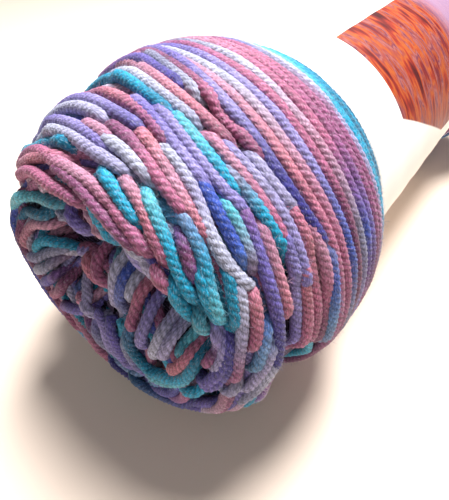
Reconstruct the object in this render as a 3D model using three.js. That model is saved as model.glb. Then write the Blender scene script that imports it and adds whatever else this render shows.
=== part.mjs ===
// A centre-pull skein of medium acrylic yarn in its paper band, lying on its side.
// Millimetres, +Z up. X runs along the skein, from the end with the open mouth to the far end.
// While it is shaped, the axis of the winding is z = 0 and the fattest ring near the mouth is x = 0.
import * as THREE from 'three';
import { mergeVertices } from 'three/addons/utils/BufferGeometryUtils.js';

// Driving sizes of the wound yarn
const BELLY_RADIUS = 50;
const NEAR_LENGTH = 49; // from the belly to the end with the mouth
const NEAR_SHOULDER = 26.4; // from the belly to the waist that the band holds
const WAIST_RADIUS = 39.5;
const FAR_BELLY_RADIUS = 49.6;
const FAR_SHOULDER = 24.4;
const FAR_LENGTH = 31; // from the far belly to the far end
const FLOOR_DROP = 49; // from the axis down to the surface that the skein lies on
const YARN_DIAMETER = 2.9;

// Driving sizes of the paper band
const BAND_START = 27;
const BAND_WIDTH = 110;
const BAND_INNER_RADIUS = 39.9;
const BAND_THICKNESS = 1;
const BAND_LAP = 16; // glued overlap, measured round the band
const BAND_LAP_STEP = 0.5;
const BAND_LAP_ANGLE = THREE.MathUtils.degToRad(150); // from the top, towards +Y

// How blunt the two domes are: higher powers fill out the shoulder
const NEAR_DOME = { along: 1.885, across: 5.1 };
const FAR_DOME = { along: 2.3, across: 3.2 };

// The winding is laid in bundles of strands. A bundle is three strands wide, four grid rows each.
const STRANDS_IN_BUNDLE = 3;
const BUNDLE_PITCH = STRANDS_IN_BUNDLE * YARN_DIAMETER;
const ROWS_IN_BUNDLE = 4;
const ROW_STEP = BUNDLE_PITCH / ROWS_IN_BUNDLE;
const BUNDLE_HEIGHT = 1.7;
const BUNDLE_CREST = { mean: 0.62, swing: 0.38, roundness: 0.7, level: 0.5 };
const UNDERSIDE = { from: 0.86, to: 0.95 }; // pressed smooth there, by the cosine of the clock angle
const BUNDLE_TURN = THREE.MathUtils.degToRad(137); // clock angle from one bundle's crest to the next
const FAN_HEIGHT = 1;
const FAN_COLUMNS = 4; // columns of the grid in one bundle that dives into the mouth
const FAN_SIDE = THREE.MathUtils.degToRad(60); // the side of the mouth that they come from
const FAN_FULL = 17; // size of the loop where those bundles stand out most
const FAN_END = 36; // and where they are lost among the others
const CLOCK_STEPS = 54;

// The squashed mouth of the middle hole, where the yarn is drawn from. Past its lip the slot fades
// out until the loops are round.
const MOUTH = { left: -3, up: 14, half_length: 18, tilt: 12, lip: 9, round_from: 41, depth: 12 };
const FAR_DIMPLE = { left: 0, up: 0, half_length: 0, tilt: 0, lip: 9, round_from: 18, depth: 4 };
const INNER_ROW = 1.6; // half width of the closed bottom of the mouth or dimple

// The bundles that dive into the mouth lie on a shelf, a step below the lobe above them
const SHELF = { depth: 3, inner: 29, outer: 38, side: THREE.MathUtils.degToRad(5), from: 0.3, to: 0.65 };

// Where each loop of the winding is centred, seen from its own end: the loops lie at a slant to
// the axis, so their centres wander before they come true at the band.
const NEAR_CENTRES = [
  { loop: 0, left: -3, up: 14 },
  { loop: 12, left: -3, up: 13 },
  { loop: 54, left: 9, up: 8 },
  { loop: 66, left: 9, up: 5 },
  { loop: 104, left: 0, up: 0 },
  { loop: 130, left: 0, up: 0 },
];
const FAR_CENTRES = [
  { loop: 0, left: 0, up: 0 },
  { loop: 12, left: 0, up: 0 },
  { loop: 40, left: -6, up: -3 },
  { loop: 66, left: -4, up: 5 },
  { loop: 84, left: 0, up: 0 },
  { loop: 130, left: 0, up: 0 },
];

const { smoothstep, degToRad, lerp } = THREE.MathUtils;

// One domed end in profile: points run from its tip, over its belly, to the waist
function domeCurve(length, belly, shoulder, dome) {
  const points = [];
  const domePoints = 28;
  const shoulderPoints = 8;
  for (let i = 0; i <= domePoints; i++) {
    const angle = (i / domePoints) * (Math.PI / 2);
    const along = -length * Math.max(Math.cos(angle), 0) ** (2 / dome.along);
    points.push(new THREE.Vector2(along, belly * Math.sin(angle) ** (2 / dome.across)));
  }
  for (let i = 1; i <= shoulderPoints; i++) {
    const share = i / shoulderPoints;
    points.push(new THREE.Vector2(share * shoulder, lerp(belly, WAIST_RADIUS, share * share)));
  }
  return new THREE.SplineCurve(points);
}

// Centre of the loop whose size is given, read from one of the tables above
function loopCentre(centres, loop) {
  const after = centres.findIndex((row) => row.loop >= loop);
  if (after <= 0) return centres[0];
  const a = centres[after - 1];
  const b = centres[after];
  const share = smoothstep(loop, a.loop, b.loop);
  return { left: lerp(a.left, b.left, share), up: lerp(a.up, b.up, share) };
}

// How far the surface stands out at a place on the winding, from its bundles of strands
function bundleRelief(row, column, loop, reach) {
  const bundle = Math.floor(row / ROWS_IN_BUNDLE);
  const across = (row % ROWS_IN_BUNDLE) / ROWS_IN_BUNDLE;
  const clock = (column / CLOCK_STEPS) * 2 * Math.PI;
  const { mean, swing, roundness, level } = BUNDLE_CREST;
  const crest = mean + swing * Math.cos(clock - bundle * BUNDLE_TURN);
  const outside = 1 - smoothstep(loop, reach - 2 * BUNDLE_PITCH, reach);
  return BUNDLE_HEIGHT * outside * (crest * Math.sin(Math.PI * across) ** roundness - level);
}

// Bundles that cross the end face and dive into the mouth: a few columns raised and sunk in turn
function fanRelief(column, loop, mouth) {
  const clock = (column / CLOCK_STEPS) * 2 * Math.PI;
  const side = Math.max(0, Math.cos(clock - FAN_SIDE));
  const near = smoothstep(loop, mouth.lip, FAN_FULL) * (1 - smoothstep(loop, FAN_FULL, FAN_END));
  return FAN_HEIGHT * side * near * Math.cos((2 * Math.PI * column) / FAN_COLUMNS);
}

// How far the shelf is sunk at a station, which is the way along the profile from the tip
function shelfDepth(station, round) {
  const side = smoothstep(Math.cos(round - SHELF.side), SHELF.from, SHELF.to);
  return SHELF.depth * side * (1 - smoothstep(station, SHELF.inner, SHELF.outer));
}

// Rows of points for one end, from the bottom of its mouth out to the waist. Each point holds
// x along the axis from the belly, and y and z across it, with the tip at negative x.
function endRows(curve, centres, mouth, fan) {
  const reach = curve.getLength();
  const rows = Math.round(reach / ROW_STEP);
  const tilt = degToRad(mouth.tilt);
  const result = [];
  for (let row = 0; row <= rows; row++) {
    const loop = lerp(INNER_ROW, reach, row / rows);
    const centre = loopCentre(centres, loop);
    const slit = mouth.half_length * (1 - smoothstep(loop, mouth.lip, mouth.round_from));
    const sink = mouth.depth * (1 - smoothstep(loop, 0, mouth.lip));
    const ring = [];
    for (let column = 0; column < CLOCK_STEPS; column++) {
      const clock = (column / CLOCK_STEPS) * 2 * Math.PI;
      const left = centre.left + slit * Math.cos(clock) * Math.cos(tilt)
        + loop * Math.cos(clock + tilt);
      const up = centre.up + slit * Math.cos(clock) * Math.sin(tilt) + loop * Math.sin(clock + tilt);
      const station = Math.min(Math.hypot(left, up), reach);
      const round = Math.atan2(left, up);
      const place = curve.getPointAt(station / reach);
      const slope = curve.getTangentAt(station / reach);
      const underside = smoothstep(-Math.cos(round), UNDERSIDE.from, UNDERSIDE.to);
      let relief = bundleRelief(row, column, loop, reach) * (1 - underside);
      if (loop < 2 * mouth.lip) relief *= smoothstep(loop, mouth.lip, 2 * mouth.lip);
      if (fan) relief += fanRelief(column, loop, mouth);
      const shelf = fan ? shelfDepth(station, round) : 0;
      const radius = place.y + slope.x * relief;
      ring.push([
        place.x - slope.y * relief + sink + shelf,
        radius * Math.sin(round),
        Math.max(radius * Math.cos(round), -FLOOR_DROP),
      ]);
    }
    result.push(ring);
  }
  return result;
}

// The whole wound body as one closed skin: near end, waist, far end turned to face +X
function skeinGeometry() {
  const nearCurve = domeCurve(NEAR_LENGTH, BELLY_RADIUS, NEAR_SHOULDER, NEAR_DOME);
  const farCurve = domeCurve(FAR_LENGTH, FAR_BELLY_RADIUS, FAR_SHOULDER, FAR_DOME);
  const farBelly = BAND_START + BAND_WIDTH + (BAND_START - NEAR_SHOULDER) + FAR_SHOULDER;
  const near = endRows(nearCurve, NEAR_CENTRES, MOUTH, true);
  const far = endRows(farCurve, FAR_CENTRES, FAR_DIMPLE, false);
  const farTurned = far.map((ring) => ring.map(([x, y, z]) => [farBelly - x, y, z])).reverse();
  const rings = near.concat(farTurned);

  const columns = CLOCK_STEPS;
  const position = rings.flat(2);
  const index = [];
  for (let row = 0; row + 1 < rings.length; row++) {
    for (let column = 0; column < columns; column++) {
      const a = row * columns + column;
      const b = row * columns + ((column + 1) % columns);
      index.push(a, b, b + columns, a, b + columns, a + columns);
    }
  }
  for (const [ring, flip] of [[0, true], [rings.length - 1, false]]) {
    const middle = [0, 1, 2].map((axis) =>
      rings[ring].reduce((sum, point) => sum + point[axis], 0) / columns);
    const hub = position.length / 3;
    position.push(...middle);
    for (let column = 0; column < columns; column++) {
      const a = ring * columns + column;
      const b = ring * columns + ((column + 1) % columns);
      index.push(...(flip ? [hub, b, a] : [hub, a, b]));
    }
  }
  const geometry = new THREE.BufferGeometry();
  geometry.setAttribute('position', new THREE.Float32BufferAttribute(position, 3));
  geometry.setIndex(index);
  return mergeVertices(geometry, 1e-4);
}

// The band is a ring of paper glued to itself: one end laps over the other and stands a step out
function bandGeometry() {
  const outer = BAND_INNER_RADIUS + BAND_THICKNESS;
  const lapTurn = BAND_LAP / outer;
  const lapStart = BAND_LAP_ANGLE;
  const lapEnd = lapStart - lapTurn;
  const outline = new THREE.Shape();
  outline.absarc(0, 0, outer, lapStart, lapEnd + 2 * Math.PI, false);
  outline.absarc(0, 0, outer + BAND_LAP_STEP, lapEnd + 2 * Math.PI, lapStart + 2 * Math.PI, false);
  const bore = new THREE.Path();
  bore.absarc(0, 0, BAND_INNER_RADIUS, 0, 2 * Math.PI, false);
  outline.holes.push(bore);
  const geometry = new THREE.ExtrudeGeometry(outline, {
    depth: BAND_WIDTH,
    steps: 1,
    curveSegments: 60,
    bevelEnabled: false,
  });
  // The outline's x turns up and its y turns towards +Y, so that angles count from the top
  const turn = new THREE.Matrix4().makeBasis(
    new THREE.Vector3(0, 0, 1),
    new THREE.Vector3(0, 1, 0),
    new THREE.Vector3(-1, 0, 0),
  );
  geometry.applyMatrix4(turn);
  geometry.translate(BAND_START + BAND_WIDTH, 0, 0);
  geometry.deleteAttribute('normal');
  geometry.deleteAttribute('uv');
  return mergeVertices(geometry, 1e-4);
}

const yarnFinish = new THREE.MeshStandardMaterial({ color: 0x9a86b8, roughness: 0.95, metalness: 0 });
const paperFinish = new THREE.MeshStandardMaterial({ color: 0xf5f0e6, roughness: 0.55, metalness: 0 });

const skein = new THREE.Mesh(skeinGeometry(), yarnFinish);
skein.name = 'yarn_skein';
const band = new THREE.Mesh(bandGeometry(), paperFinish);
band.name = 'paper_band';

// The origin is on the surface below the middle of the skein
const part = new THREE.Group();
part.add(skein, band);
const reachBox = new THREE.Box3().setFromObject(skein);
part.position.set(
  -(reachBox.min.x + reachBox.max.x) / 2,
  -(reachBox.min.y + reachBox.max.y) / 2,
  FLOOR_DROP,
);
part.updateMatrixWorld(true);

export default part;
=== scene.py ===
from collections import namedtuple
import bpy
import numpy as np
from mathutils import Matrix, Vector


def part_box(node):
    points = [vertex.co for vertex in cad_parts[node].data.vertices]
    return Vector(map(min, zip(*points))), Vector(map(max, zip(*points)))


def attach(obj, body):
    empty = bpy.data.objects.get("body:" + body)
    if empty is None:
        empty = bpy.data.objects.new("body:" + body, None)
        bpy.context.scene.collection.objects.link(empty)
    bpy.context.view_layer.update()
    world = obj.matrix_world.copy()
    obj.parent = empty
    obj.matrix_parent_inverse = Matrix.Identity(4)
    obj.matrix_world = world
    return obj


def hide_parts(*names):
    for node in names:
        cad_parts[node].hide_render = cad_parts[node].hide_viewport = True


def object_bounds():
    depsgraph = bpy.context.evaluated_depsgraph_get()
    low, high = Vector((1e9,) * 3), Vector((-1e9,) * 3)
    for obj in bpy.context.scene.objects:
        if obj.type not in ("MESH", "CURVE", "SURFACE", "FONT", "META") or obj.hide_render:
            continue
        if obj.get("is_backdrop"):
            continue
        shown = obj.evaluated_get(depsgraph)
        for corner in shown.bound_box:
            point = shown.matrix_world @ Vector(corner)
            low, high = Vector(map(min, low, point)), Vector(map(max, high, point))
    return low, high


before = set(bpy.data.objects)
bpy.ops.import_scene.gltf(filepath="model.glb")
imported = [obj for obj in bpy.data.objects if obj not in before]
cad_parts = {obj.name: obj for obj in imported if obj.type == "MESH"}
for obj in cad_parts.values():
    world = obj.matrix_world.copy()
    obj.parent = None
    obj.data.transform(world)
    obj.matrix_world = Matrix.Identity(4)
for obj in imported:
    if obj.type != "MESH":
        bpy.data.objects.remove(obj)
cad_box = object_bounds()

# The camera stands above the left of the mouth and looks down along the skein, as the photo was
# taken: close by, with a wide lens. It is placed from the middle of the fattest ring of the winding.
MM = 0.001
BAND_LOW, BAND_HIGH = (Vector(corner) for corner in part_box("paper_band"))
BELLY_TO_BAND = 27 * MM
AXIS_HEIGHT = 49 * MM
near_belly = Vector((BAND_LOW.x - BELLY_TO_BAND, (BAND_LOW.y + BAND_HIGH.y) / 2, AXIS_HEIGHT))

CAMERA_FROM_BELLY = Vector((-76.8, -61.8, 86.1)) * MM
CAMERA_TILT = 43.95
CAMERA_HEADING = -52.6

camera = bpy.data.objects.new("camera", bpy.data.cameras.new("camera"))
bpy.context.collection.objects.link(camera)
camera.location = near_belly + CAMERA_FROM_BELLY
camera.rotation_euler = (np.radians(CAMERA_TILT), 0, np.radians(CAMERA_HEADING))
camera.data.lens = 30
camera.data.sensor_width = 36
camera.data.clip_start = 0.005
bpy.context.scene.camera = camera

# The wound form. A machine winds the yarn round a drum in slanted loops, which gives two domed
# ends and a waist between them. Its profile is worked out from a few sizes, as a list of stations:
# a station is the way along the profile from the tip of the end.
YARN = 2.9 * MM
WAIST = 39.5 * MM
PLIES = 4


# An end is a dome, rounded by the exponents along and across, and a shoulder down to the waist
def wound_end(belly, facing, length, radius, shoulder, along, across, hollows):
    angle = np.linspace(0, np.pi / 2, 500)
    dome_x = -length * np.maximum(np.cos(angle), 0) ** (2 / along)
    dome_r = radius * np.sin(angle) ** (2 / across)
    share = np.linspace(0, 1, 120)[1:]
    x = np.concatenate([dome_x, shoulder * share])
    r = np.concatenate([dome_r, radius + (WAIST - radius) * share**2])
    station = np.concatenate([[0], np.cumsum(np.hypot(np.diff(x), np.diff(r)))])
    return {"belly": belly, "facing": facing, "x": x, "r": r, "station": station, "hollows": hollows}


def smooth(value, low, high):
    share = np.clip((value - low) / (high - low), 0, 1)
    return share * share * (3 - 2 * share)


# Distance on the map of an end to a chain of points
def off_line(left, up, chain):
    best = np.full(np.shape(left), 1.0)
    for (a_left, a_up), (b_left, b_up) in zip(chain[:-1], chain[1:]):
        run = np.array([b_left - a_left, b_up - a_up])
        share = ((left - a_left) * run[0] + (up - a_up) * run[1]) / (run @ run)
        share = np.clip(share, 0, 1)
        off = np.hypot(left - a_left - share * run[0], up - a_up - share * run[1])
        best = np.minimum(best, off)
    return best


# A place on an end, from its map: left and up are ways along the surface from the tip. A clock
# angle is 0 at the top and grows to the left.
def on_form(end, left, up):
    station = np.hypot(left, up)
    clock = np.arctan2(left, up)
    reach = end["station"][-1]
    x = np.interp(station, end["station"], end["x"]) + np.maximum(station - reach, 0)
    r = np.interp(station, end["station"], end["r"])
    x = x + end["hollows"](left, up, station, clock)
    centre = end["belly"]
    return np.stack(
        [centre.x - end["facing"] * x, centre.y + r * np.sin(clock), centre.z + r * np.cos(clock)], -1
    )


def normal_on_form(end, left, up):
    step = 0.3 * MM
    across = on_form(end, left + step, up) - on_form(end, left - step, up)
    upward = on_form(end, left, up + step) - on_form(end, left, up - step)
    normal = np.cross(across, upward) * end["facing"]
    return normal / np.linalg.norm(normal, axis=-1, keepdims=True)


# The mouth is a squashed slot with a sunk bowl round it, and the strands that dive into it lie on
# a shelf a little below the lobe above them.
MOUTH_LINE = np.array([(12, 18), (3, 19), (-6, 22), (-14, 19), (-21, 16), (-30, 11)]) * MM
MOUTH_DEPTH = 11 * MM
MOUTH_HALF_WIDTH = 2.3 * MM
BOWL_DEPTH = 3.0 * MM
BOWL_HALF_WIDTH = 6 * MM
SHELF_DEPTH = 3.0 * MM
SHELF_CLOCK = 5
SHELF_ENDS = (31 * MM, 35 * MM)


def near_hollows(left, up, station, clock):
    off = off_line(left, up, MOUTH_LINE)
    slot = MOUTH_DEPTH * np.exp(-((off / MOUTH_HALF_WIDTH) ** 2))
    bowl = BOWL_DEPTH * np.exp(-((off / BOWL_HALF_WIDTH) ** 2))
    sector = smooth(np.cos(clock - np.radians(SHELF_CLOCK)), 0.3, 0.65)
    shelf = SHELF_DEPTH * sector * (1 - smooth(station, *SHELF_ENDS))
    return slot + bowl + shelf


FAR_DIMPLE_DEPTH = 5 * MM
FAR_DIMPLE_RADIUS = 8 * MM


def far_hollows(left, up, station, clock):
    return FAR_DIMPLE_DEPTH * np.exp(-((station / FAR_DIMPLE_RADIUS) ** 2))


near_end = wound_end(
    near_belly, -1, length=49 * MM, radius=50 * MM, shoulder=26.4 * MM, along=1.885, across=5.1,
    hollows=near_hollows
)
BAND_TO_FAR_BELLY = 25 * MM
far_belly = Vector((BAND_HIGH.x + BAND_TO_FAR_BELLY, near_belly.y, AXIS_HEIGHT))
far_end = wound_end(
    far_belly, 1, length=31 * MM, radius=49.6 * MM, shoulder=24.4 * MM, along=2.3, across=3.2,
    hollows=far_hollows
)

# The inside of the winding: packed turns, as one closed body a few millimetres under the outer
# strands. It is coloured near black as painted shade: it shows as darkness between those strands,
# and bare where strands lean apart.
CORE_STARTS = 1.5 * MM
CORE_DEPTH = 5.2 * MM
CORE_COLUMNS = 96
CORE_ROWS = 60


def core_rings(end, stations, clocks):
    rings = []
    for station in stations:
        left = station * np.sin(clocks)
        up = station * np.cos(clocks)
        ring = on_form(end, left, up) - normal_on_form(end, left, up) * CORE_DEPTH
        ring[:, 2] = np.maximum(ring[:, 2], YARN)
        rings.append(ring)
    return rings


def closed_mesh(name, rings):
    columns = len(rings[0])
    points = np.concatenate(rings)
    faces = []
    for row in range(len(rings) - 1):
        for column in range(columns):
            beside = (column + 1) % columns
            a = row * columns
            b = a + columns
            faces.append((a + column, a + beside, b + beside, b + column))
    faces.append(tuple(range(columns))[::-1])
    last = (len(rings) - 1) * columns
    faces.append(tuple(range(last, last + columns)))
    mesh = bpy.data.meshes.new(name)
    mesh.from_pydata(points.tolist(), [], faces)
    mesh.polygons.foreach_set("use_smooth", [True] * len(faces))
    return mesh


clocks = np.linspace(0, 2 * np.pi, CORE_COLUMNS, endpoint=False)
near_stations = np.linspace(CORE_STARTS, near_end["station"][-1], CORE_ROWS)
far_stations = np.linspace(CORE_STARTS, far_end["station"][-1], CORE_ROWS)
rings = core_rings(near_end, near_stations, clocks) + core_rings(far_end, far_stations, clocks)[::-1]
core = bpy.data.objects.new("inner_turns", closed_mesh("inner_turns", rings))
bpy.context.collection.objects.link(core)


def new_material(name):
    material = bpy.data.materials.new(name)
    material.use_nodes = True
    nodes = material.node_tree.nodes
    return material, nodes, material.node_tree.links, nodes["Principled BSDF"]


core_painted_shade_material, nodes, links, shader = new_material("packed_turns_painted_shade")
turns = nodes.new("ShaderNodeTexWave")
turns.inputs["Scale"].default_value = 110
turns.inputs["Distortion"].default_value = 3
# Near black violet, not the yarn's own dyes: painted shade for the depth between the outer strands
ramp = nodes.new("ShaderNodeValToRGB")
ramp.color_ramp.elements[0].color = (0.02, 0.012, 0.03, 1)
ramp.color_ramp.elements[1].color = (0.12, 0.08, 0.16, 1)
bump = nodes.new("ShaderNodeBump")
bump.inputs["Strength"].default_value = 0.6
bump.inputs["Distance"].default_value = 0.001
links.new(turns.outputs["Fac"], ramp.inputs["Fac"])
links.new(turns.outputs["Fac"], bump.inputs["Height"])
links.new(ramp.outputs["Color"], shader.inputs["Base Color"])
links.new(bump.outputs["Normal"], shader.inputs["Normal"])
shader.inputs["Roughness"].default_value = 0.9
core.data.materials.append(core_painted_shade_material)
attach(core, "root")
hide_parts("yarn_skein")

# The yarn: four plies of dyed acrylic fibre, twisted to the left. It was dyed in stretches, so its
# colour changes slowly along it. Each dye is named after what it looks like.
DYES = {
    "turquoise": (30, 160, 200),
    "teal": (18, 105, 140),
    "aqua": (95, 185, 205),
    "sky": (112, 155, 205),
    "blue": (60, 88, 185),
    "deep": (62, 58, 140),
    "violet": (112, 100, 180),
    "lavender": (150, 140, 200),
    "lilac": (166, 160, 202),
    "white": (184, 186, 212),
    "grey": (136, 138, 170),
    "pink": (192, 138, 166),
    "salmon": (196, 122, 142),
    "rose": (182, 106, 142),
    "mauve": (156, 92, 136),
    "plum": (122, 68, 106),
}


def linear(colour):
    share = np.array(colour) / 255
    return np.where(share <= 0.04045, share / 12.92, ((share + 0.055) / 1.055) ** 2.4)


dye_colours = {word: linear(colour) for word, colour in DYES.items()}
chance = np.random.default_rng(20)

# A strand is kept as its middle line, the normals of the form under it, and its dyes
Strand = namedtuple("Strand", "middle normal dye")
LAID_APART = 0.86 * YARN
HIGHEST = 1.5 * MM
PATH_STEP = 1.0 * MM
DIVE = 3.6 * MM
DIVE_LENGTH = 7 * MM
ON_THE_FLOOR = YARN * 0.55


# Smooth curve through points that are given in rows of two columns
def through(points, steps):
    points = np.array(points, float)
    gaps = np.linalg.norm(np.diff(points, axis=0), axis=1)
    at = np.concatenate([[0], np.cumsum(np.sqrt(gaps))])
    slope = np.gradient(points, at, axis=0)
    place = np.linspace(0, at[-1], steps)
    k = np.clip(np.searchsorted(at, place, side="right") - 1, 0, len(points) - 2)
    width = (at[k + 1] - at[k])[:, None]
    t = (place[:, None] - at[k][:, None]) / width
    a, b = points[k], points[k + 1]
    slope_a, slope_b = slope[k] * width, slope[k + 1] * width
    return (
        a * (2 * t**3 - 3 * t**2 + 1)
        + slope_a * (t**3 - 2 * t**2 + t)
        + b * (3 * t**2 - 2 * t**3)
        + slope_b * (t**3 - t**2)
    )


def evenly(points, step, *others):
    lengths = np.concatenate([[0], np.cumsum(np.linalg.norm(np.diff(points, axis=0), axis=1))])
    count = max(int(lengths[-1] / step), 3)
    place = np.linspace(0, lengths[-1], count + 1)
    made = []
    for values in (points, *others):
        made.append(np.stack([np.interp(place, lengths, column) for column in values.T], -1))
    return made


def blurred(values, reach):
    window = np.hanning(2 * reach + 3)[1:-1]
    padded = np.pad(values, reach, mode="edge")
    return np.convolve(padded, window / window.sum(), mode="valid")


# How high a strand has to ride over the strands laid before it
def lift_over(base, normal, laid):
    if len(laid) == 0:
        return np.zeros(len(base))
    low = base.min(0) - 2 * YARN
    high = base.max(0) + 2 * YARN
    close = laid[((laid > low) & (laid < high)).all(1)]
    if len(close) == 0:
        return np.zeros(len(base))
    away = close[None] - base[:, None]
    height = (away * normal[:, None]).sum(-1)
    beside = (away**2).sum(-1) - height**2
    room = LAID_APART**2 - beside
    meets = (room > 0) & (height > -1.5 * YARN)
    lift = np.where(meets, height + np.sqrt(np.maximum(room, 0)), 0)
    return np.maximum(lift.max(1), 0)


def sunk_at(sunk, left, up):
    return sunk(left, up) if callable(sunk) else np.full(len(left), float(sunk))


# A strand laid along the map: it rests on the form or on the strands under it, and dives between
# its neighbours at its ends
def lay(end, left, up, dyes, laid, sunk=0, highest=HIGHEST):
    base = on_form(end, left, up)
    base, left_up = evenly(base, PATH_STEP, np.stack([left, up], -1))
    left, up = left_up.T
    normal = normal_on_form(end, left, up)
    count = len(base)
    along = np.arange(count) * PATH_STEP
    from_nearer_end = np.minimum(along, along[-1] - along)
    dive = 1 - smooth(from_nearer_end, 0, DIVE_LENGTH)
    base = base - normal * (YARN / 2 + sunk_at(sunk, left, up))[:, None]
    lift = lift_over(base, normal, laid)
    wide = np.array([lift[max(i - 2, 0): i + 3].max() for i in range(count)])
    lift = np.minimum(blurred(wide, 3), highest) * (1 - dive)
    middle = base + normal * (lift - DIVE * dive)[:, None]
    middle[:, 2] = np.maximum(middle[:, 2], ON_THE_FLOOR)
    colours = np.array([dye_colours[word] for word in dyes])
    stops = np.linspace(0, 1, len(colours))
    share = np.linspace(0, 1, count)
    dye = np.stack([np.interp(share, stops, channel) for channel in colours.T], -1)
    return Strand(middle, normal, dye)


# Spinning turns middle lines into plied yarn: the section has one lobe for each ply and turns
# as it goes along, so the plies wind round each other to the left. The yarn sways and swells a
# little, as soft yarn does. A ply is a few rows of its reach and of how much of a crest it is.
PLUMP = 1.04
TWIST_PITCH = 6.6 * MM
SWAY = 0.14 * MM
WANDER_STEP = 10 * MM
FINE_PLY = ((1.0, 1.0), (0.965, 0.75), (0.88, 0.0), (0.965, 0.75))
PLAIN_PLY = ((1.0, 1.0), (0.9, 0.2), (0.9, 0.2))


def spin(name, strands, step, ply, material):
    sides = PLIES * len(ply)
    section_radius = np.array([row[0] for row in ply] * PLIES) * YARN / 2 * PLUMP
    section_crest = np.array([row[1] for row in ply] * PLIES)
    section_angle = np.arange(sides) / sides * 2 * np.pi
    points, faces, uvs, dyes, crests = [], [], [], [], []
    first = 0
    for strand in strands:
        middle, normal, dye = evenly(strand.middle, step, strand.normal, strand.dye)
        along = np.gradient(middle, axis=0)
        along /= np.linalg.norm(along, axis=1, keepdims=True)
        normal = normal - (normal * along).sum(1, keepdims=True) * along
        normal /= np.linalg.norm(normal, axis=1, keepdims=True)
        beside = np.cross(along, normal)
        length = np.arange(len(middle)) * step
        sway = SWAY * np.sin(length / (5 * MM) + chance.uniform(0, 6))
        middle = middle + beside * sway[:, None]
        knots = np.arange(0, length[-1] + 2 * WANDER_STEP, WANDER_STEP)
        wander = np.interp(length, knots, chance.normal(0, 0.5, len(knots)))
        pitch = TWIST_PITCH * chance.uniform(0.92, 1.12)
        turn = chance.uniform(0, 2 * np.pi) - 2 * np.pi * length / pitch + wander
        angle = section_angle[None] + turn[:, None]
        swell = 1 + 0.05 * np.sin(length / (4 * MM) + chance.uniform(0, 6))
        radius = section_radius[None] * swell[:, None]
        ring = (
            middle[:, None]
            + (radius * np.cos(angle))[..., None] * normal[:, None]
            + (radius * np.sin(angle))[..., None] * beside[:, None]
        )
        count = len(middle)
        row = np.arange(count - 1)[:, None] * sides
        column = np.arange(sides)[None]
        next_column = (column + 1) % sides
        quads = np.stack(
            [row + column, row + next_column, row + sides + next_column, row + sides + column], -1
        )
        faces.append(quads.reshape(-1, 4) + first)
        u = column / sides + turn[:-1, None] / (2 * np.pi)
        u_after = column / sides + turn[1:, None] / (2 * np.pi)
        v = np.broadcast_to(length[:-1, None] / (np.pi * YARN), u.shape)
        v_after = np.broadcast_to(length[1:, None] / (np.pi * YARN), u.shape)
        corner = np.stack(
            [np.stack([u, v], -1), np.stack([u + 1 / sides, v], -1),
             np.stack([u_after + 1 / sides, v_after], -1), np.stack([u_after, v_after], -1)], 2
        )
        uvs.append(corner.reshape(-1, 2))
        points.append(ring.reshape(-1, 3))
        dyes.append(np.repeat(dye, sides, 0))
        crests.append(np.tile(section_crest, count))
        first += count * sides
    points = np.concatenate(points)
    faces = np.concatenate(faces)
    mesh = bpy.data.meshes.new(name)
    mesh.vertices.add(len(points))
    mesh.vertices.foreach_set("co", points.astype(np.float32).ravel())
    mesh.loops.add(len(faces) * 4)
    mesh.loops.foreach_set("vertex_index", faces.astype(np.int32).ravel())
    mesh.polygons.add(len(faces))
    mesh.polygons.foreach_set("loop_start", np.arange(0, len(faces) * 4, 4, dtype=np.int32))
    mesh.polygons.foreach_set("use_smooth", np.ones(len(faces), bool))
    uv_layer = mesh.uv_layers.new(name="along_the_yarn")
    uv_layer.uv.foreach_set("vector", np.concatenate(uvs).astype(np.float32).ravel())
    dye_on_yarn(mesh, np.concatenate(dyes))
    crest = mesh.attributes.new("crest", "FLOAT", "POINT")
    crest.data.foreach_set("value", np.concatenate(crests).astype(np.float32))
    mesh.update()
    mesh.validate()
    mesh.materials.append(material)
    piece = bpy.data.objects.new(name, mesh)
    bpy.context.collection.objects.link(piece)
    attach(piece, "root")


def dye_on_yarn(mesh, dyes):
    colour = mesh.attributes.new("dye", "FLOAT_COLOR", "POINT")
    rgba = np.hstack([dyes, np.ones((len(dyes), 1))]).astype(np.float32)
    colour.data.foreach_set("color", rgba.ravel())


# The dyed fibre: the dye varies a little along and between the plies, shade is painted into the
# grooves, and fine fibres run along the yarn, some dark, with pale flecks that are partly paler
# fibres and partly painted glints.
def mapped(nodes, links, value, low, high, to_low, to_high):
    node = nodes.new("ShaderNodeMapRange")
    node.inputs["From Min"].default_value = low
    node.inputs["From Max"].default_value = high
    node.inputs["To Min"].default_value = to_low
    node.inputs["To Max"].default_value = to_high
    links.new(value, node.inputs["Value"])
    return node.outputs["Result"]


def times(nodes, links, a, b):
    node = nodes.new("ShaderNodeMath")
    node.operation = "MULTIPLY"
    links.new(a, node.inputs[0])
    links.new(b, node.inputs[1])
    return node.outputs["Value"]


def noise(nodes, links, place, stretch, detail):
    mapping = nodes.new("ShaderNodeMapping")
    mapping.inputs["Scale"].default_value = stretch
    links.new(place, mapping.inputs["Vector"])
    node = nodes.new("ShaderNodeTexNoise")
    node.inputs["Scale"].default_value = 1
    node.inputs["Detail"].default_value = detail
    links.new(mapping.outputs["Vector"], node.inputs["Vector"])
    return node.outputs["Fac"]


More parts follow.
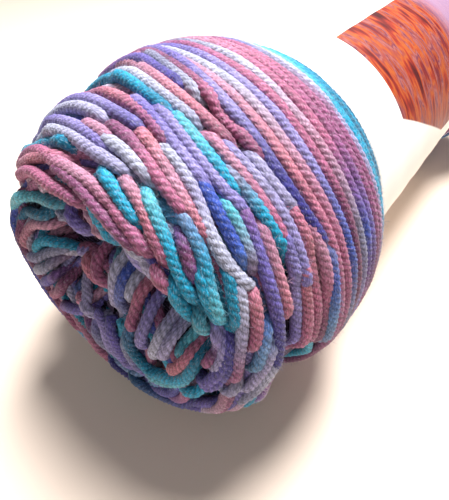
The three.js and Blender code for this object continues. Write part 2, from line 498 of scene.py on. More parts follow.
def yarn_material():
    material, nodes, links, shader = new_material("dyed_acrylic")
    dye = nodes.new("ShaderNodeAttribute")
    dye.attribute_name = "dye"
    crest = nodes.new("ShaderNodeAttribute")
    crest.attribute_name = "crest"
    place = nodes.new("ShaderNodeUVMap")
    place.uv_map = "along_the_yarn"
    solid = nodes.new("ShaderNodeTexCoord")
    fibres = noise(nodes, links, place.outputs["UV"], (30, 10, 1), 3)
    fleck_and_glint_noise = noise(nodes, links, place.outputs["UV"], (40, 15, 3), 2)
    blotches = noise(nodes, links, solid.outputs["Object"], (420, 420, 420), 2)

    # Darker toward the grooves between the plies: painted shade
    shade = mapped(nodes, links, crest.outputs["Fac"], 0, 1, 0.58, 1.0)
    shade = times(nodes, links, shade, mapped(nodes, links, fibres, 0.36, 0.64, 0.55, 1.3))
    shade = times(nodes, links, shade, mapped(nodes, links, blotches, 0.3, 0.7, 0.82, 1.15))
    shaded = nodes.new("ShaderNodeVectorMath")
    shaded.operation = "SCALE"
    links.new(dye.outputs["Color"], shaded.inputs[0])
    links.new(shade, shaded.inputs["Scale"])
    # The flecks are mixed toward pale lilac: partly paler fibres, partly painted glints of light on them
    fleck_and_glint_mix = nodes.new("ShaderNodeMix")
    fleck_and_glint_mix.data_type = "RGBA"
    fleck_and_glint_mix.inputs["B"].default_value = (0.72, 0.70, 0.80, 1)
    links.new(mapped(nodes, links, fleck_and_glint_noise, 0.58, 0.76, 0, 0.5), fleck_and_glint_mix.inputs["Factor"])
    links.new(shaded.outputs["Vector"], fleck_and_glint_mix.inputs["A"])
    links.new(fleck_and_glint_mix.outputs["Result"], shader.inputs["Base Color"])
    bump = nodes.new("ShaderNodeBump")
    bump.inputs["Strength"].default_value = 0.8
    bump.inputs["Distance"].default_value = 0.0003
    links.new(fibres, bump.inputs["Height"])
    links.new(bump.outputs["Normal"], shader.inputs["Normal"])
    shader.inputs["Roughness"].default_value = 0.6
    shader.inputs["Specular IOR Level"].default_value = 0.3
    shader.inputs["Sheen Weight"].default_value = 0.12
    shader.inputs["Sheen Roughness"].default_value = 0.4
    return material


dyed_acrylic = yarn_material()

# The first passes lie in lanes: a bundle of lanes leans to one side, and each is cut into passes
# that dive under their neighbours. They show below the mouth, between the passes laid over them,
# and on the sides, where the inner turns show between two bundles that lean apart.
DYE_ORDER = (
    "turquoise turquoise teal violet deep violet lavender white pink rose mauve plum rose salmon"
    " lilac sky turquoise aqua lavender violet blue violet rose mauve pink white grey"
).split()
DYE_STRETCH = 42 * MM
FIRST_RING = 70.5
RING_PITCH = 2.65
RING_COUNT = 17
SWEEP = 9
SWEEP_CLOCKS = (-180, -110, -40, -10, 20, 70, 180)
SWEEP_SHARES = (0.1, 0, 0, 0.4, 1, 1, 0.1)
COVERED = 2.9 * MM
COVERED_FROM = (-118, -98)
COVERED_TO = (50, 70)
COVERED_MOUTH = (26 * MM, 32 * MM)
LANES_IN_BUNDLE = 5
BUNDLE_TURN = 137.5
LEAN_GROWS = (8 * MM, 30 * MM)
PASS_TURNS = (110, 230)
SHORTEST_TURN = 50
TURNS_OVERLAP = 8


def dyes_along(start, length):
    count = max(int(length / DYE_STRETCH) + 2, 2)
    first = int(start / DYE_STRETCH)
    return [DYE_ORDER[(first + i) % len(DYE_ORDER)] for i in range(count)]


# Station of a ring in millimetres: the early rings still lean, further along at the top and the
# left, and the last one lies square against the band
def ring_station(number, clock):
    level = FIRST_RING + RING_PITCH * number
    still_leans = 1 - number / (RING_COUNT - 1)
    return level + SWEEP * still_leans * np.interp(clock, SWEEP_CLOCKS, SWEEP_SHARES)


# Where the listed passes and the rings cover the near end, the lanes sink under them
def under_later_passes(left, up):
    station = np.hypot(left, up)
    clock = np.degrees(np.arctan2(left, up))
    hand_placed_side = smooth(clock, *COVERED_FROM) * (1 - smooth(clock, *COVERED_TO))
    around_mouth = 1 - smooth(station, *COVERED_MOUTH)
    first_ring = ring_station(0, clock) * MM
    below_rings = smooth(station, first_ring - 5 * MM, first_ring - 1 * MM)
    return COVERED * np.maximum(np.maximum(hand_placed_side, around_mouth), below_rings)


def lay_lanes(end, first, last, lean, strands, laid_parts, sunk, used):
    lane = first
    number = 0
    while lane < last:
        bundle = number // LANES_IN_BUNDLE
        leans_to = np.radians(15 + BUNDLE_TURN * bundle)
        clock = chance.uniform(0, 360)
        finish = clock + 360
        weight = smooth(lane, *LEAN_GROWS) * (1 - smooth(lane, last - 12 * MM, last))
        while clock < finish:
            turn = chance.uniform(*PASS_TURNS)
            turn = min(turn, finish - clock + TURNS_OVERLAP)
            if finish - clock - turn < SHORTEST_TURN:
                turn = finish - clock + TURNS_OVERLAP
            steps = max(int(np.radians(turn) * max(lane, 6 * MM) / (1.2 * MM)), 8)
            angle = np.radians(clock + np.linspace(-TURNS_OVERLAP, turn, steps))
            wander = chance.normal(0, 0.5 * MM)
            station = lane + weight * lean * np.cos(angle - leans_to) + wander
            station = np.maximum(station, 3 * MM)
            length = np.radians(turn) * lane
            laid = np.concatenate(laid_parts) if laid_parts else np.zeros((0, 3))
            left = station * np.sin(angle)
            up = station * np.cos(angle)
            strand = lay(end, left, up, dyes_along(used, length), laid, sunk=sunk)
            used += length
            strands.append(strand)
            laid_parts.append(strand.middle)
            clock += turn
        lane += YARN
        number += 1


near_hidden = []
near_laid = []
lay_lanes(near_end, 4 * MM, 78 * MM, 9 * MM, near_hidden, near_laid, under_later_passes, 0)
spin("near_inner_passes", near_hidden, 1.3 * MM, PLAIN_PLY, dyed_acrylic)

# Passes round the mouth. A pass is its dyes, how it starts, and the few places that it goes
# through: left and up in millimetres from the tip of the end.
Pass = namedtuple("Pass", "dyes start way")
MOUTH_PASSES = (
    # This first pass, plum and deep, is a dark strand laid where the mouth holds only shade: painted shade
    Pass("plum deep", "dives", ((13, -9), (8, -17), (1, -25))),
    Pass("violet grey violet", "dives", ((6, -4), (3, -15), (-2, -25))),
    Pass("mauve violet violet", "dives", ((23, -15), (15, -9), (7, -4), (2, -1))),
    Pass("rose rose plum plum", "dives", ((27, -13), (18, -5), (14, 1), (10, 9))),
    Pass("grey violet plum", "dives", ((29, -9), (19, 0), (13, 8))),
    Pass("grey white grey plum", "dives", ((31, -5), (20, 4), (12, 12))),
    Pass("violet grey grey", "dives", ((32, 0), (20, 8), (10, 15))),
    Pass("deep violet deep", "dives", ((-3, 4), (-5, -8), (-7, -20))),
    Pass("violet lavender violet", "dives", ((2, 3), (0, -9), (-3, -19), (-9, -26))),
    Pass("sky grey violet violet", "dives", ((-9, 3), (-10, -8), (-14, -15), (-22, -20))),
    Pass("grey lilac lilac grey", "dives", ((11, 8), (6, 4), (3, -1), (-1, -6))),
    Pass("mauve rose pink grey", "dives", ((11, 3), (6, 2), (0, 3))),
    Pass("plum rose mauve", "dives", ((3, 20), (0, 13), (-4, 6))),
    Pass("rose salmon rose mauve", "dives", ((7, 16), (3, 9), (-2, 4))),
    Pass("sky blue grey", "dives", ((-9, 23), (-8, 13), (-7, 3))),
    Pass("grey white lilac grey", "dives", ((-6, 22), (-6, 12), (-5, 2))),
    Pass("grey white grey", "dives", ((-11, 21), (-11, 14), (-10, 7))),
    Pass("rose salmon rose mauve", "dives", ((-14, 21), (-13, 12), (-12, 1))),
    Pass("deep violet lavender violet", "dives", ((-17, 20), (-17, 10), (-15, -3))),
    Pass("grey lilac white grey", "dives", ((-22, 16), (-21, 7), (-18, -4))),
    Pass("grey lilac lilac", "dives", ((-25, 15), (-23, 6), (-21, -2))),
    Pass("teal aqua teal", "dives", ((-28, 14), (-26, 5), (-25, 1))),
    Pass("plum rose salmon salmon", "dives", ((-30, 12), (-27, 3), (-21, -6))),
    Pass("sky teal turquoise turquoise teal teal", "dives",
         ((-9, 5), (-12, -5), (-17, -9), (-23, -6), (-28, -1), (-31, 11))),
    Pass("grey aqua aqua turquoise", "dives", ((-10, -12), (-19, -11), (-26, -5), (-31, 3))),
    Pass("teal turquoise turquoise teal", "dives", ((-22, -12), (-31, -7), (-37, 2))),
    Pass("violet deep violet deep", "dives", ((-38, 15), (-38, 5), (-35, -1), (-28, -6))),
    Pass("violet lavender lilac lavender", "dives", ((-34, 19), (-36, 10), (-33, 0))),
    Pass("mauve grey lilac grey", "dives", ((-42, 4), (-39, -5), (-34, -10))),
)

# Passes over the near end, each laid over the ones before it, with ways as clock angle and
# station. One that starts "outside" comes round from the side of the skein.
FACE_PASSES = (
    Pass("aqua turquoise teal", "outside", ((64, 24), (48, 20), (28, 17))),
    Pass("salmon pink rose", "outside", ((62, 29), (42, 24), (18, 19))),
    Pass("teal teal", "outside", ((60, 32), (45, 28), (26, 25))),
    Pass("aqua aqua teal", "outside", ((56, 36), (38, 32), (20, 30), (4, 32))),
    Pass("grey grey", "dives", ((30, 31), (22, 26), (15, 22))),
    Pass("violet violet lavender violet", "dives", ((17, 33), (9, 27), (1, 21))),
    Pass("lilac pink pink mauve", "dives", ((7, 34), (-3, 28), (-15, 23))),
    Pass("turquoise turquoise teal", "dives", ((0, 36), (-11, 29), (-21, 23))),
    Pass("pink salmon salmon mauve", "dives", ((-7, 37), (-18, 30), (-31, 25))),
    Pass("violet lavender lavender violet", "dives", ((-12, 38), (-24, 31), (-42, 25))),
    Pass("grey white lilac white pink", "dives", ((-18, 38), (-30, 32), (-44, 27), (-60, 29))),
    Pass("violet deep violet", "dives", ((-28, 37), (-38, 33), (-50, 29))),
    Pass("plum rose mauve mauve", "dives", ((-29, 39), (-45, 33), (-64, 29))),
    Pass("teal turquoise turquoise teal", "dives", ((-36, 40), (-50, 34), (-68, 30))),
    Pass("teal aqua turquoise", "dives", ((-48, 40), (-62, 35), (-77, 31))),
    Pass("lavender lavender mauve mauve", "dives", ((-58, 40), (-72, 35), (-88, 31))),
    Pass("violet deep violet violet", "dives", ((-62, 42), (-80, 37), (-102, 30))),
    Pass("pink rose rose mauve", "outside", ((30, 39), (12, 36), (-10, 35))),
    Pass("plum mauve mauve plum", "dives", ((22, 41), (2, 39), (-16, 36), (-36, 35))),
    Pass("salmon pink salmon rose", "outside", ((36, 42), (22, 42), (6, 43))),
    Pass("rose mauve rose pink rose mauve", "outside", ((30, 44), (12, 41), (-7, 40), (-22, 38), (-39, 36))),
    Pass("teal turquoise turquoise teal", "dives", ((2, 45), (-12, 42), (-31, 38))),
    Pass("mauve pink salmon rose plum", "dives", ((-5, 46), (-20, 43), (-30, 40), (-44, 37))),
    Pass("turquoise aqua turquoise turquoise teal", "dives", ((-13, 47), (-30, 42), (-42, 39), (-58, 37))),
    Pass("violet plum violet", "dives", ((-27, 46), (-40, 42), (-52, 39))),
    Pass("teal turquoise turquoise aqua", "dives", ((-37, 45), (-52, 41), (-68, 40))),
    Pass("grey sky turquoise aqua turquoise", "dives", ((-23, 48), (-40, 45), (-52, 42), (-68, 40))),
    Pass("teal turquoise teal", "dives", ((-41, 49), (-56, 45), (-72, 42))),
    Pass("aqua turquoise teal", "outside", ((33, 47), (18, 46), (4, 45))),
    Pass("grey white white lilac grey", "outside", ((36, 50), (18, 48), (0, 46), (-19, 46))),
    Pass("grey violet lavender violet", "outside", ((36, 53), (16, 50), (0, 48), (-9, 47))),
    Pass("grey white white grey", "dives", ((9, 50), (-6, 49), (-25, 46.5))),
    Pass("mauve pink mauve", "dives", ((18, 52), (4, 50.5), (-9, 49))),
    Pass("plum mauve", "dives", ((9, 53), (-6, 51.5), (-17, 50))),
    Pass("sky white lilac", "outside", ((34, 56), (18, 55), (-1, 53))),
    Pass("violet violet lavender deep", "outside", ((34, 58.5), (16, 57.5), (2, 55.5), (-13, 54))),
    Pass("plum mauve rose rose plum", "dives", ((4, 53.5), (-12, 50.5), (-22, 48.5), (-38, 46.5))),
    Pass("rose salmon pink salmon rose", "dives", ((0, 55.5), (-16, 52), (-28, 49), (-46, 46.5))),
    Pass("grey white lilac white white white", "dives",
         ((-8, 55), (-26, 52), (-38, 48.5), (-50, 48), (-62, 51))),
    Pass("lilac white lilac mauve mauve", "dives", ((-46, 49), (-62, 45), (-76, 41.5), (-96, 39))),
    Pass("rose salmon rose plum", "dives", ((-50, 50), (-66, 47.5), (-82, 43))),
    Pass("deep blue blue sky", "dives", ((-20, 55), (-36, 52), (-56, 50))),
    Pass("blue sky teal", "dives", ((-62, 51), (-78, 46.5), (-92, 43))),
    Pass("sky lilac lilac grey", "dives", ((-70, 51), (-86, 46.5), (-104, 40))),
    Pass("grey white grey grey", "dives", ((-78, 52), (-96, 47), (-118, 41))),
    Pass("turquoise aqua grey mauve", "dives", ((-28, 55), (-42, 53.5), (-58, 50.5))),
    Pass("mauve violet violet deep deep", "dives", ((-32, 57.5), (-50, 54), (-66, 52), (-96, 48.5))),
    Pass("mauve salmon mauve salmon mauve plum", "outside", ((34, 62.5), (12, 60), (-4, 57.5), (-21, 53.5))),
    Pass("lavender violet lavender violet", "dives", ((9, 61.5), (-8, 58), (-20, 55), (-36, 53))),
    Pass("violet lavender lavender violet", "dives", ((1, 62), (-16, 58), (-28, 56.2), (-46, 56.7))),
    Pass("mauve pink salmon mauve", "dives", ((-38, 58.5), (-56, 55.5), (-76, 53.5))),
    Pass("turquoise aqua turquoise turquoise", "dives", ((-4, 63), (-20, 59), (-42, 57))),
    Pass("sky grey turquoise turquoise teal", "dives", ((-22, 59), (-40, 59), (-62, 59.5))),
    Pass("violet lavender violet", "dives", ((-42, 62), (-62, 58.5), (-90, 55.5))),
    Pass("rose salmon rose mauve", "dives", ((-52, 62.5), (-70, 60), (-94, 57.5))),
    Pass("rose pink rose rose", "dives", ((-14, 62.5), (-32, 60.8), (-58, 59.8))),
    Pass("turquoise turquoise turquoise teal", "outside", ((30, 70.5), (14, 66), (0, 62.7), (-15, 60.3))),
    Pass("lilac white white grey", "outside", ((28, 74), (10, 67.5), (-6, 63.5), (-22, 62))),
    Pass("rose salmon pink salmon plum", "outside", ((26, 76), (8, 69.5), (-8, 65.5), (-32, 63))),
    Pass("violet lilac lavender violet", "dives", ((-17, 62.5), (-40, 62.5), (-72, 60.5))),
    Pass("rose salmon rose plum", "dives", ((-38, 65.2), (-62, 64), (-96, 61.5))),
    Pass("grey lilac lilac grey", "dives", ((-24, 66.5), (-38, 64.5), (-54, 66.2))),
    Pass("mauve violet deep", "outside", ((22, 76), (4, 70.5), (-11, 67.5))),
    Pass("grey white grey white", "outside", ((24, 79.5), (4, 72.5), (-15, 67.5))),
    Pass("plum mauve plum rose plum", "outside", ((26, 81), (8, 75), (-8, 71), (-22, 67.5), (-39, 66))),
    Pass("rose pink rose plum plum", "dives", ((-45, 66.2), (-64, 66.8), (-99, 64))),
    Pass("lilac lavender violet lavender deep deep", "outside",
         ((26, 83), (8, 77), (-10, 72), (-28, 68.5), (-44, 66.8), (-65, 69.6))),
    Pass("grey blue sky grey", "dives", ((-55, 70), (-74, 68), (-101, 66.3))),
)
PRESSED_DOWN = 0.7 * MM


def hand_placed(rows, polar, strands, laid_parts):
    for row in rows:
        way = np.array(row.way, float)
        if row.start == "outside":
            outside = way[0] + [18 + chance.uniform(0, 12), chance.uniform(-1, 1)]
            way = np.vstack([outside, way])
        reach = np.linalg.norm(np.ptp(way, axis=0)) + 10
        a, b = through(way, int(reach * 3)).T
        if polar:
            clock = np.radians(a)
            a, b = b * np.sin(clock), b * np.cos(clock)
        laid = np.concatenate(laid_parts)
        strand = lay(near_end, a * MM, b * MM, row.dyes.split(), laid, sunk=PRESSED_DOWN)
        strands.append(strand)
        laid_parts.append(strand.middle)


near_shown = []
hand_placed(MOUTH_PASSES, False, near_shown, near_laid)
hand_placed(FACE_PASSES, True, near_shown, near_laid)
spin("near_passes", near_shown, 0.95 * MM, FINE_PLY, dyed_acrylic)

# The rings: the last passes lie side by side almost square to the axis, and run in against the
# band. Each row is one ring's dyes, from the left over the top to the right.
RING_DYES = (
    "lilac rose pink pink salmon rose mauve plum",
    "lilac lilac white white pink rose mauve plum",
    "violet lilac violet lavender lavender blue grey mauve",
    "mauve pink mauve rose rose plum plum plum",
    "lilac grey grey white pink grey lavender grey",
    "violet pink pink rose rose blue mauve plum",
    "rose lilac pink rose mauve violet plum plum",
    "sky lavender mauve rose mauve mauve plum violet",
    "violet sky blue grey mauve mauve grey mauve",
    "rose violet lilac white lilac lilac grey lilac",
    "sky aqua aqua aqua turquoise turquoise lavender mauve",
    "teal aqua turquoise turquoise turquoise turquoise grey violet",
    "teal teal turquoise turquoise teal teal violet deep",
    "violet teal teal turquoise teal teal deep deep",
    "violet deep teal teal turquoise teal deep plum",
    "violet teal teal deep teal teal violet plum",
    "deep violet teal teal teal violet deep plum",
)
SHOWN_CLOCKS = (70, -120)
DYES_MOVE_ON = 300 * MM
RING_HIGHEST = 0.3 * MM
PUSHED_UP = 1.0 * MM


# A ring goes once round from a seam on the underside. It lies almost level with its neighbours,
# and the last ones are pushed up by the edge of the band.
def lay_ring(end, station_at, dyes, strands, laid_parts, used):
    reach = end["station"][-1]

    def pushed_up(left, up):
        return -PUSHED_UP * smooth(np.hypot(left, up), reach - 12 * MM, reach - 1 * MM)

    seam = chance.uniform(140, 170)
    clock = np.linspace(seam, seam - 364, 360)
    wrapped_clock = (clock + 180) % 360 - 180
    station = blurred(station_at(wrapped_clock), 12) * MM
    angle = np.radians(clock)
    shown = np.linspace(*SHOWN_CLOCKS, len(dyes))
    around = [seam, *shown, seam - 364]
    plain = dyes_along(used, 60 * MM)
    words = [plain[0], *dyes, plain[-1]]
    laid = np.concatenate(laid_parts)
    left, up = station * np.sin(angle), station * np.cos(angle)
    strand = lay(end, left, up, dyes[:1], laid, sunk=pushed_up, highest=RING_HIGHEST)
    colours = np.array([dye_colours[word] for word in words])
    turned = np.linspace(seam, seam - 364, len(strand.middle))
    dye = [np.interp(-turned, -np.array(around), channel) for channel in colours.T]
    strands.append(Strand(strand.middle, strand.normal, np.stack(dye, -1)))
    laid_parts.append(strand.middle)


near_rings = []
for number, row in enumerate(RING_DYES):
    lay_ring(near_end, lambda clock: ring_station(number, clock), row.split(), near_rings, near_laid,
             DYES_MOVE_ON * number)
spin("near_rings", near_rings, 1.05 * MM, FINE_PLY, dyed_acrylic)

# The far end is out of the photo: a plainer dome with a small dimple, wound in the same lanes and
# closed by rings against the band.
FAR_FIRST_RING = 58
FAR_RING_PITCH = 2.9
FAR_RING_DYES = 8
far_strands = []
far_laid = []
lay_lanes(far_end, 3 * MM, 56 * MM, 8 * MM, far_strands, far_laid, 0, 900 * MM)
spin("far_passes", far_strands, 1.3 * MM, PLAIN_PLY, dyed_acrylic)
far_rings = []
far_reach = far_end["station"][-1] / MM
for number in range(int((far_reach - FAR_FIRST_RING) / FAR_RING_PITCH) + 1):
    level = FAR_FIRST_RING + FAR_RING_PITCH * number
    words = [DYE_ORDER[(3 * number + i) % len(DYE_ORDER)] for i in range(FAR_RING_DYES)]
    lay_ring(far_end, lambda clock: np.full(len(clock), level), words, far_rings, far_laid,
             500 * MM + DYES_MOVE_ON * number)
spin("far_rings", far_rings, 1.3 * MM, PLAIN_PLY, dyed_acrylic)

# Loose fibres: spun acrylic is hairy, and its finest hairs give every strand a haze, painted paler
# than the strand as sheen. Each hair is a narrow blade that stands a little off its strand and bends over.
HAIR_COUNT = 20000
HAIR_LENGTH = 1.2 * MM
HAIR_WIDTH = 0.04 * MM
LOWEST_HAIR = 0.1 * MM


def loose_fibres(name, strands, count):
    middle = np.concatenate([strand.middle for strand in strands])
    normal = np.concatenate([strand.normal for strand in strands])
    dye = np.concatenate([strand.dye for strand in strands])
    along = np.concatenate([np.gradient(strand.middle, axis=0) for strand in strands])
    along /= np.linalg.norm(along, axis=1, keepdims=True)
    pick = chance.integers(0, len(middle), count)
    slide = chance.uniform(-0.5, 0.5, (count, 1)) * PATH_STEP
    run, out = along[pick], normal[pick]
    beside = np.cross(run, out)
    turn = chance.uniform(-1.9, 1.9, (count, 1))
    off = out * np.cos(turn) + beside * np.sin(turn)
    root = middle[pick] + run * slide + off * YARN * 0.49
    way = run * chance.choice([-1, 1], (count, 1)) * chance.uniform(0.4, 1, (count, 1))
    way += off * chance.uniform(0.1, 0.8, (count, 1)) + chance.normal(0, 0.35, (count, 3))
    way /= np.linalg.norm(way, axis=1, keepdims=True)
    bend = chance.normal(0, 0.45, (count, 3))
    length = HAIR_LENGTH * chance.uniform(0.5, 1.4, (count, 1))
    knee = root + way * length * 0.5
    tip = knee + (way + bend) * length * 0.5
    wide = np.cross(way, chance.normal(0, 1, (count, 3)))
    wide *= HAIR_WIDTH / 2 / np.linalg.norm(wide, axis=1, keepdims=True)
    points = np.stack([root - wide, root + wide, knee + wide, knee - wide, tip], 1).reshape(-1, 3)
    points[:, 2] = np.maximum(points[:, 2], LOWEST_HAIR)
    first = np.arange(count)[:, None] * 5
    corners = np.concatenate([first + [0, 1, 2], first + [0, 2, 3], first + [3, 2, 4]]).astype(np.int32)
    mesh = bpy.data.meshes.new(name)
    mesh.vertices.add(len(points))
    mesh.vertices.foreach_set("co", points.astype(np.float32).ravel())
    mesh.loops.add(len(corners) * 3)
    mesh.loops.foreach_set("vertex_index", corners.ravel())
    mesh.polygons.add(len(corners))
    mesh.polygons.foreach_set("loop_start", np.arange(0, len(corners) * 3, 3, dtype=np.int32))
    dye_on_yarn(mesh, np.repeat(dye[pick], 5, 0))
    mesh.update()
    mesh.materials.append(loose_fibre)
    piece = bpy.data.objects.new(name, mesh)
    bpy.context.collection.objects.link(piece)
    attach(piece, "root")


loose_fibre, nodes, links, shader = new_material("loose_fibre")
dye = nodes.new("ShaderNodeAttribute")
dye.attribute_name = "dye"
# Each hair is its strand's dye, a fifth of the way to pale lilac: painted sheen of light through the thin
# fibres
pale = nodes.new("ShaderNodeMix")
pale.data_type = "RGBA"
pale.inputs["Factor"].default_value = 0.22
pale.inputs["B"].default_value = (0.85, 0.83, 0.9, 1)
links.new(dye.outputs["Color"], pale.inputs["A"])
links.new(pale.outputs["Result"], shader.inputs["Base Color"])
shader.inputs["Roughness"].default_value = 0.5
shader.inputs["Sheen Weight"].default_value = 0.2
loose_fibres("hairs_on_passes", near_shown, HAIR_COUNT)
loose_fibres("hairs_on_rings", near_rings, HAIR_COUNT)

# The paper band: a strip of coated paper wrapped round the waist and glued to itself, with its lap
# on the underside. It is thin, so the yarn behind it presses it a little out of round. Its near
# part is bare, and a brushed stripe print in other hues covers the top of the rest.
PAPER = 0.22 * MM
PAPER_RADIUS = 40.3 * MM
LAP_STARTS = 150
LAP_TURN = 22.4
LAP_RISES = (354, 362)
LAP_STEP = 0.35 * MM
BAND_COLUMNS = 180
BAND_ROWS = 44
band_width = BAND_HIGH.x - BAND_LOW.x


def paper_radius(clock, along):
    from_edge = np.minimum(along, band_width - along)
    scallop = 0.10 * MM * np.sin(along / YARN * 2 * np.pi) * smooth(from_edge, 0, 6 * MM)
    sag = 0.22 * MM * np.sin(np.radians(clock) * 3 + along / (23 * MM))
    crease = 0.3 * MM * np.exp(-(((clock - 62 - along / MM * 0.12) / 3.5) ** 2))
    crease = crease + 0.25 * MM * np.exp(-(((clock + 118) / 3) ** 2))
    return PAPER_RADIUS + scallop + sag - crease


def paper_band():
    turn = np.linspace(0, 360 + LAP_TURN, BAND_COLUMNS + 1)
    along = np.linspace(0, band_width, BAND_ROWS + 1)
    clock, way = np.meshgrid(LAP_STARTS - turn, along, indexing="ij")
    over = smooth(turn, *LAP_RISES)[:, None] * LAP_STEP
    sides = []
    for height in (PAPER, 0):
        radius = paper_radius((clock + 180) % 360 - 180, way) + over + height
        angle = np.radians(clock)
        y = near_belly.y + radius * np.sin(angle)
        sides.append(np.stack([BAND_LOW.x + way, y, AXIS_HEIGHT + radius * np.cos(angle)], -1))
    rows = BAND_ROWS + 1
    outer = np.arange((BAND_COLUMNS + 1) * rows).reshape(BAND_COLUMNS + 1, rows)
    inner = outer + outer.size
    faces = []
    for i in range(BAND_COLUMNS):
        for j in range(BAND_ROWS):
            faces.append((outer[i, j], outer[i, j + 1], outer[i + 1, j + 1], outer[i + 1, j]))
            faces.append((inner[i, j], inner[i + 1, j], inner[i + 1, j + 1], inner[i, j + 1]))
        for j, flip in ((0, True), (BAND_ROWS, False)):
            edge = (outer[i, j], inner[i, j], inner[i + 1, j], outer[i + 1, j])
            faces.append(edge[::-1] if flip else edge)
    for i, flip in ((0, False), (BAND_COLUMNS, True)):
        for j in range(BAND_ROWS):
            edge = (outer[i, j], inner[i, j], inner[i, j + 1], outer[i, j + 1])
            faces.append(edge[::-1] if flip else edge)
    points = np.concatenate([side.reshape(-1, 3) for side in sides])
    mesh = bpy.data.meshes.new("wrapped_paper")
    mesh.from_pydata(points.tolist(), [], [tuple(int(k) for k in face) for face in faces])
    mesh.polygons.foreach_set("use_smooth", [True] * len(faces))
    uv = np.tile(np.stack([clock / 100, way / (100 * MM)], -1).reshape(-1, 2), (2, 1))
    corner = np.zeros(len(mesh.loops), np.int32)
    mesh.loops.foreach_get("vertex_index", corner)
    uv_layer = mesh.uv_layers.new(name="round_and_along")
    uv_layer.uv.foreach_set("vector", uv[corner].astype(np.float32).ravel())
    mesh.update()
    band = bpy.data.objects.new("wrapped_paper", mesh)
    bpy.context.collection.objects.link(band)
    return band


# The print: brush strokes that run round the band, in a panel with a straight near edge and a
# slanted lower edge. Round and along are in hundreds of degrees and of millimetres.
PANEL_STARTS = 0.23
PANEL_TOP = -0.10
PANEL_CORNER = -0.57
PANEL_SLANT = -0.75
PANEL_BOTTOM = -0.86
STROKES = (
    (0.0, (44, 18, 22)),
    (0.2, (104, 30, 30)),
    (0.32, (150, 50, 34)),
    (0.42, (170, 86, 38)),
    (0.5, (136, 58, 56)),
    (0.57, (156, 92, 86)),
    (0.64, (98, 44, 68)),
    (0.72, (158, 74, 40)),
    (0.8, (122, 36, 34)),
    (1.0, (78, 34, 56)),
)


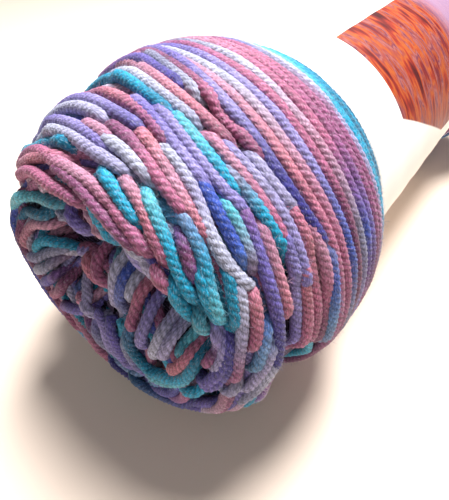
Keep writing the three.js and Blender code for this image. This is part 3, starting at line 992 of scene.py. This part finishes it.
def paper_material():
    material, nodes, links, shader = new_material("printed_paper")

    def math(kind, a, b):
        node = nodes.new("ShaderNodeMath")
        node.operation = kind
        for socket, value in zip(node.inputs, (a, b)):
            if isinstance(value, (int, float)):
                socket.default_value = value
            else:
                links.new(value, socket)
        return node.outputs["Value"]

    place = nodes.new("ShaderNodeUVMap")
    place.uv_map = "round_and_along"
    split = nodes.new("ShaderNodeSeparateXYZ")
    links.new(place.outputs["UV"], split.inputs["Vector"])
    clock, along = split.outputs["X"], split.outputs["Y"]
    past_edge = mapped(nodes, links, along, PANEL_STARTS, PANEL_STARTS + 0.003, 0, 1)
    below_top = mapped(nodes, links, clock, PANEL_TOP - 0.003, PANEL_TOP + 0.003, 1, 0)
    past_start = math("SUBTRACT", along, PANEL_STARTS)
    slanted = math("ADD", math("MULTIPLY", past_start, PANEL_SLANT), PANEL_CORNER)
    lower = math("MAXIMUM", slanted, PANEL_BOTTOM)
    above_lower = mapped(nodes, links, math("SUBTRACT", clock, lower), -0.004, 0.004, 0, 1)
    panel = math("MULTIPLY", math("MULTIPLY", past_edge, below_top), above_lower)

    broad = noise(nodes, links, place.outputs["UV"], (3, 17, 1), 2)
    fine = noise(nodes, links, place.outputs["UV"], (10, 80, 1), 3)
    broad = mapped(nodes, links, broad, 0.3, 0.7, 0.08, 0.9)
    choice = math("ADD", broad, mapped(nodes, links, fine, 0.3, 0.7, -0.12, 0.12))
    ramp = nodes.new("ShaderNodeValToRGB")
    stops = ramp.color_ramp.elements
    stops[0].color = (*linear(STROKES[0][1]), 1)
    stops[1].color = (*linear(STROKES[-1][1]), 1)
    for position, colour in STROKES[1:-1]:
        stops.new(position).color = (*linear(colour), 1)
    links.new(choice, ramp.inputs["Fac"])
    lilac_end = nodes.new("ShaderNodeMix")
    lilac_end.data_type = "RGBA"
    lilac_end.inputs["B"].default_value = (*linear((152, 126, 156)), 1)
    links.new(mapped(nodes, links, along, 0.76, 0.86, 0, 0.85), lilac_end.inputs["Factor"])
    links.new(ramp.outputs["Color"], lilac_end.inputs["A"])
    printed = nodes.new("ShaderNodeMix")
    printed.data_type = "RGBA"
    printed.inputs["A"].default_value = (0.93, 0.915, 0.88, 1)
    links.new(panel, printed.inputs["Factor"])
    links.new(lilac_end.outputs["Result"], printed.inputs["B"])
    links.new(printed.outputs["Result"], shader.inputs["Base Color"])
    solid = nodes.new("ShaderNodeTexCoord")
    grain = noise(nodes, links, solid.outputs["Object"], (900, 900, 900), 3)
    bump = nodes.new("ShaderNodeBump")
    bump.inputs["Strength"].default_value = 0.12
    bump.inputs["Distance"].default_value = 0.0002
    links.new(grain, bump.inputs["Height"])
    links.new(bump.outputs["Normal"], shader.inputs["Normal"])
    shader.inputs["Roughness"].default_value = 0.5
    shader.inputs["Specular IOR Level"].default_value = 0.3
    return material


wrapped = paper_band()
wrapped.data.materials.append(paper_material())
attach(wrapped, "root")
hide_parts("paper_band")

# The floor and the light: the skein lies on a plain pale floor, under one soft lamp above and
# behind it and a weaker one in front, in an even pale surround.
FLOOR = 3.0
floor_mesh = bpy.data.meshes.new("floor")
floor_mesh.from_pydata(
    [(-FLOOR, -FLOOR, 0), (FLOOR, -FLOOR, 0), (FLOOR, FLOOR, 0), (-FLOOR, FLOOR, 0)], [], [(0, 1, 2, 3)]
)
floor = bpy.data.objects.new("floor", floor_mesh)
bpy.context.collection.objects.link(floor)
floor_material, nodes, links, shader = new_material("pale_floor")
shader.inputs["Base Color"].default_value = (0.95, 0.80, 0.69, 1)
shader.inputs["Roughness"].default_value = 0.8
floor.data.materials.append(floor_material)
floor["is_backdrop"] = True


def soft_light(name, place, size, power, colour):
    light = bpy.data.lights.new(name, "AREA")
    light.shape = "DISK"
    light.size = size
    light.energy = power
    light.color = colour
    lamp = bpy.data.objects.new(name, light)
    bpy.context.collection.objects.link(lamp)
    lamp.location = near_belly + Vector(place)
    lamp.rotation_euler = (-Vector(place)).to_track_quat("-Z", "Y").to_euler()


soft_light("key", (0.18, 0.012, 0.54), 0.24, 8.4, (1, 0.985, 0.96))
soft_light("fill", (-0.40, -0.30, 0.45), 0.6, 0.6, (1, 0.98, 0.96))
world = bpy.data.worlds.new("studio")
world.use_nodes = True
world.node_tree.nodes["Background"].inputs["Color"].default_value = (1, 0.98, 0.96, 1)
world.node_tree.nodes["Background"].inputs["Strength"].default_value = 0.18
bpy.context.scene.world = world
bpy.context.scene.view_settings.view_transform = "Standard"

sizes = {"cad": cad_box, "visual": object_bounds()}
sizes = {name: [[float(value) for value in corner] for corner in box] for name, box in sizes.items()}
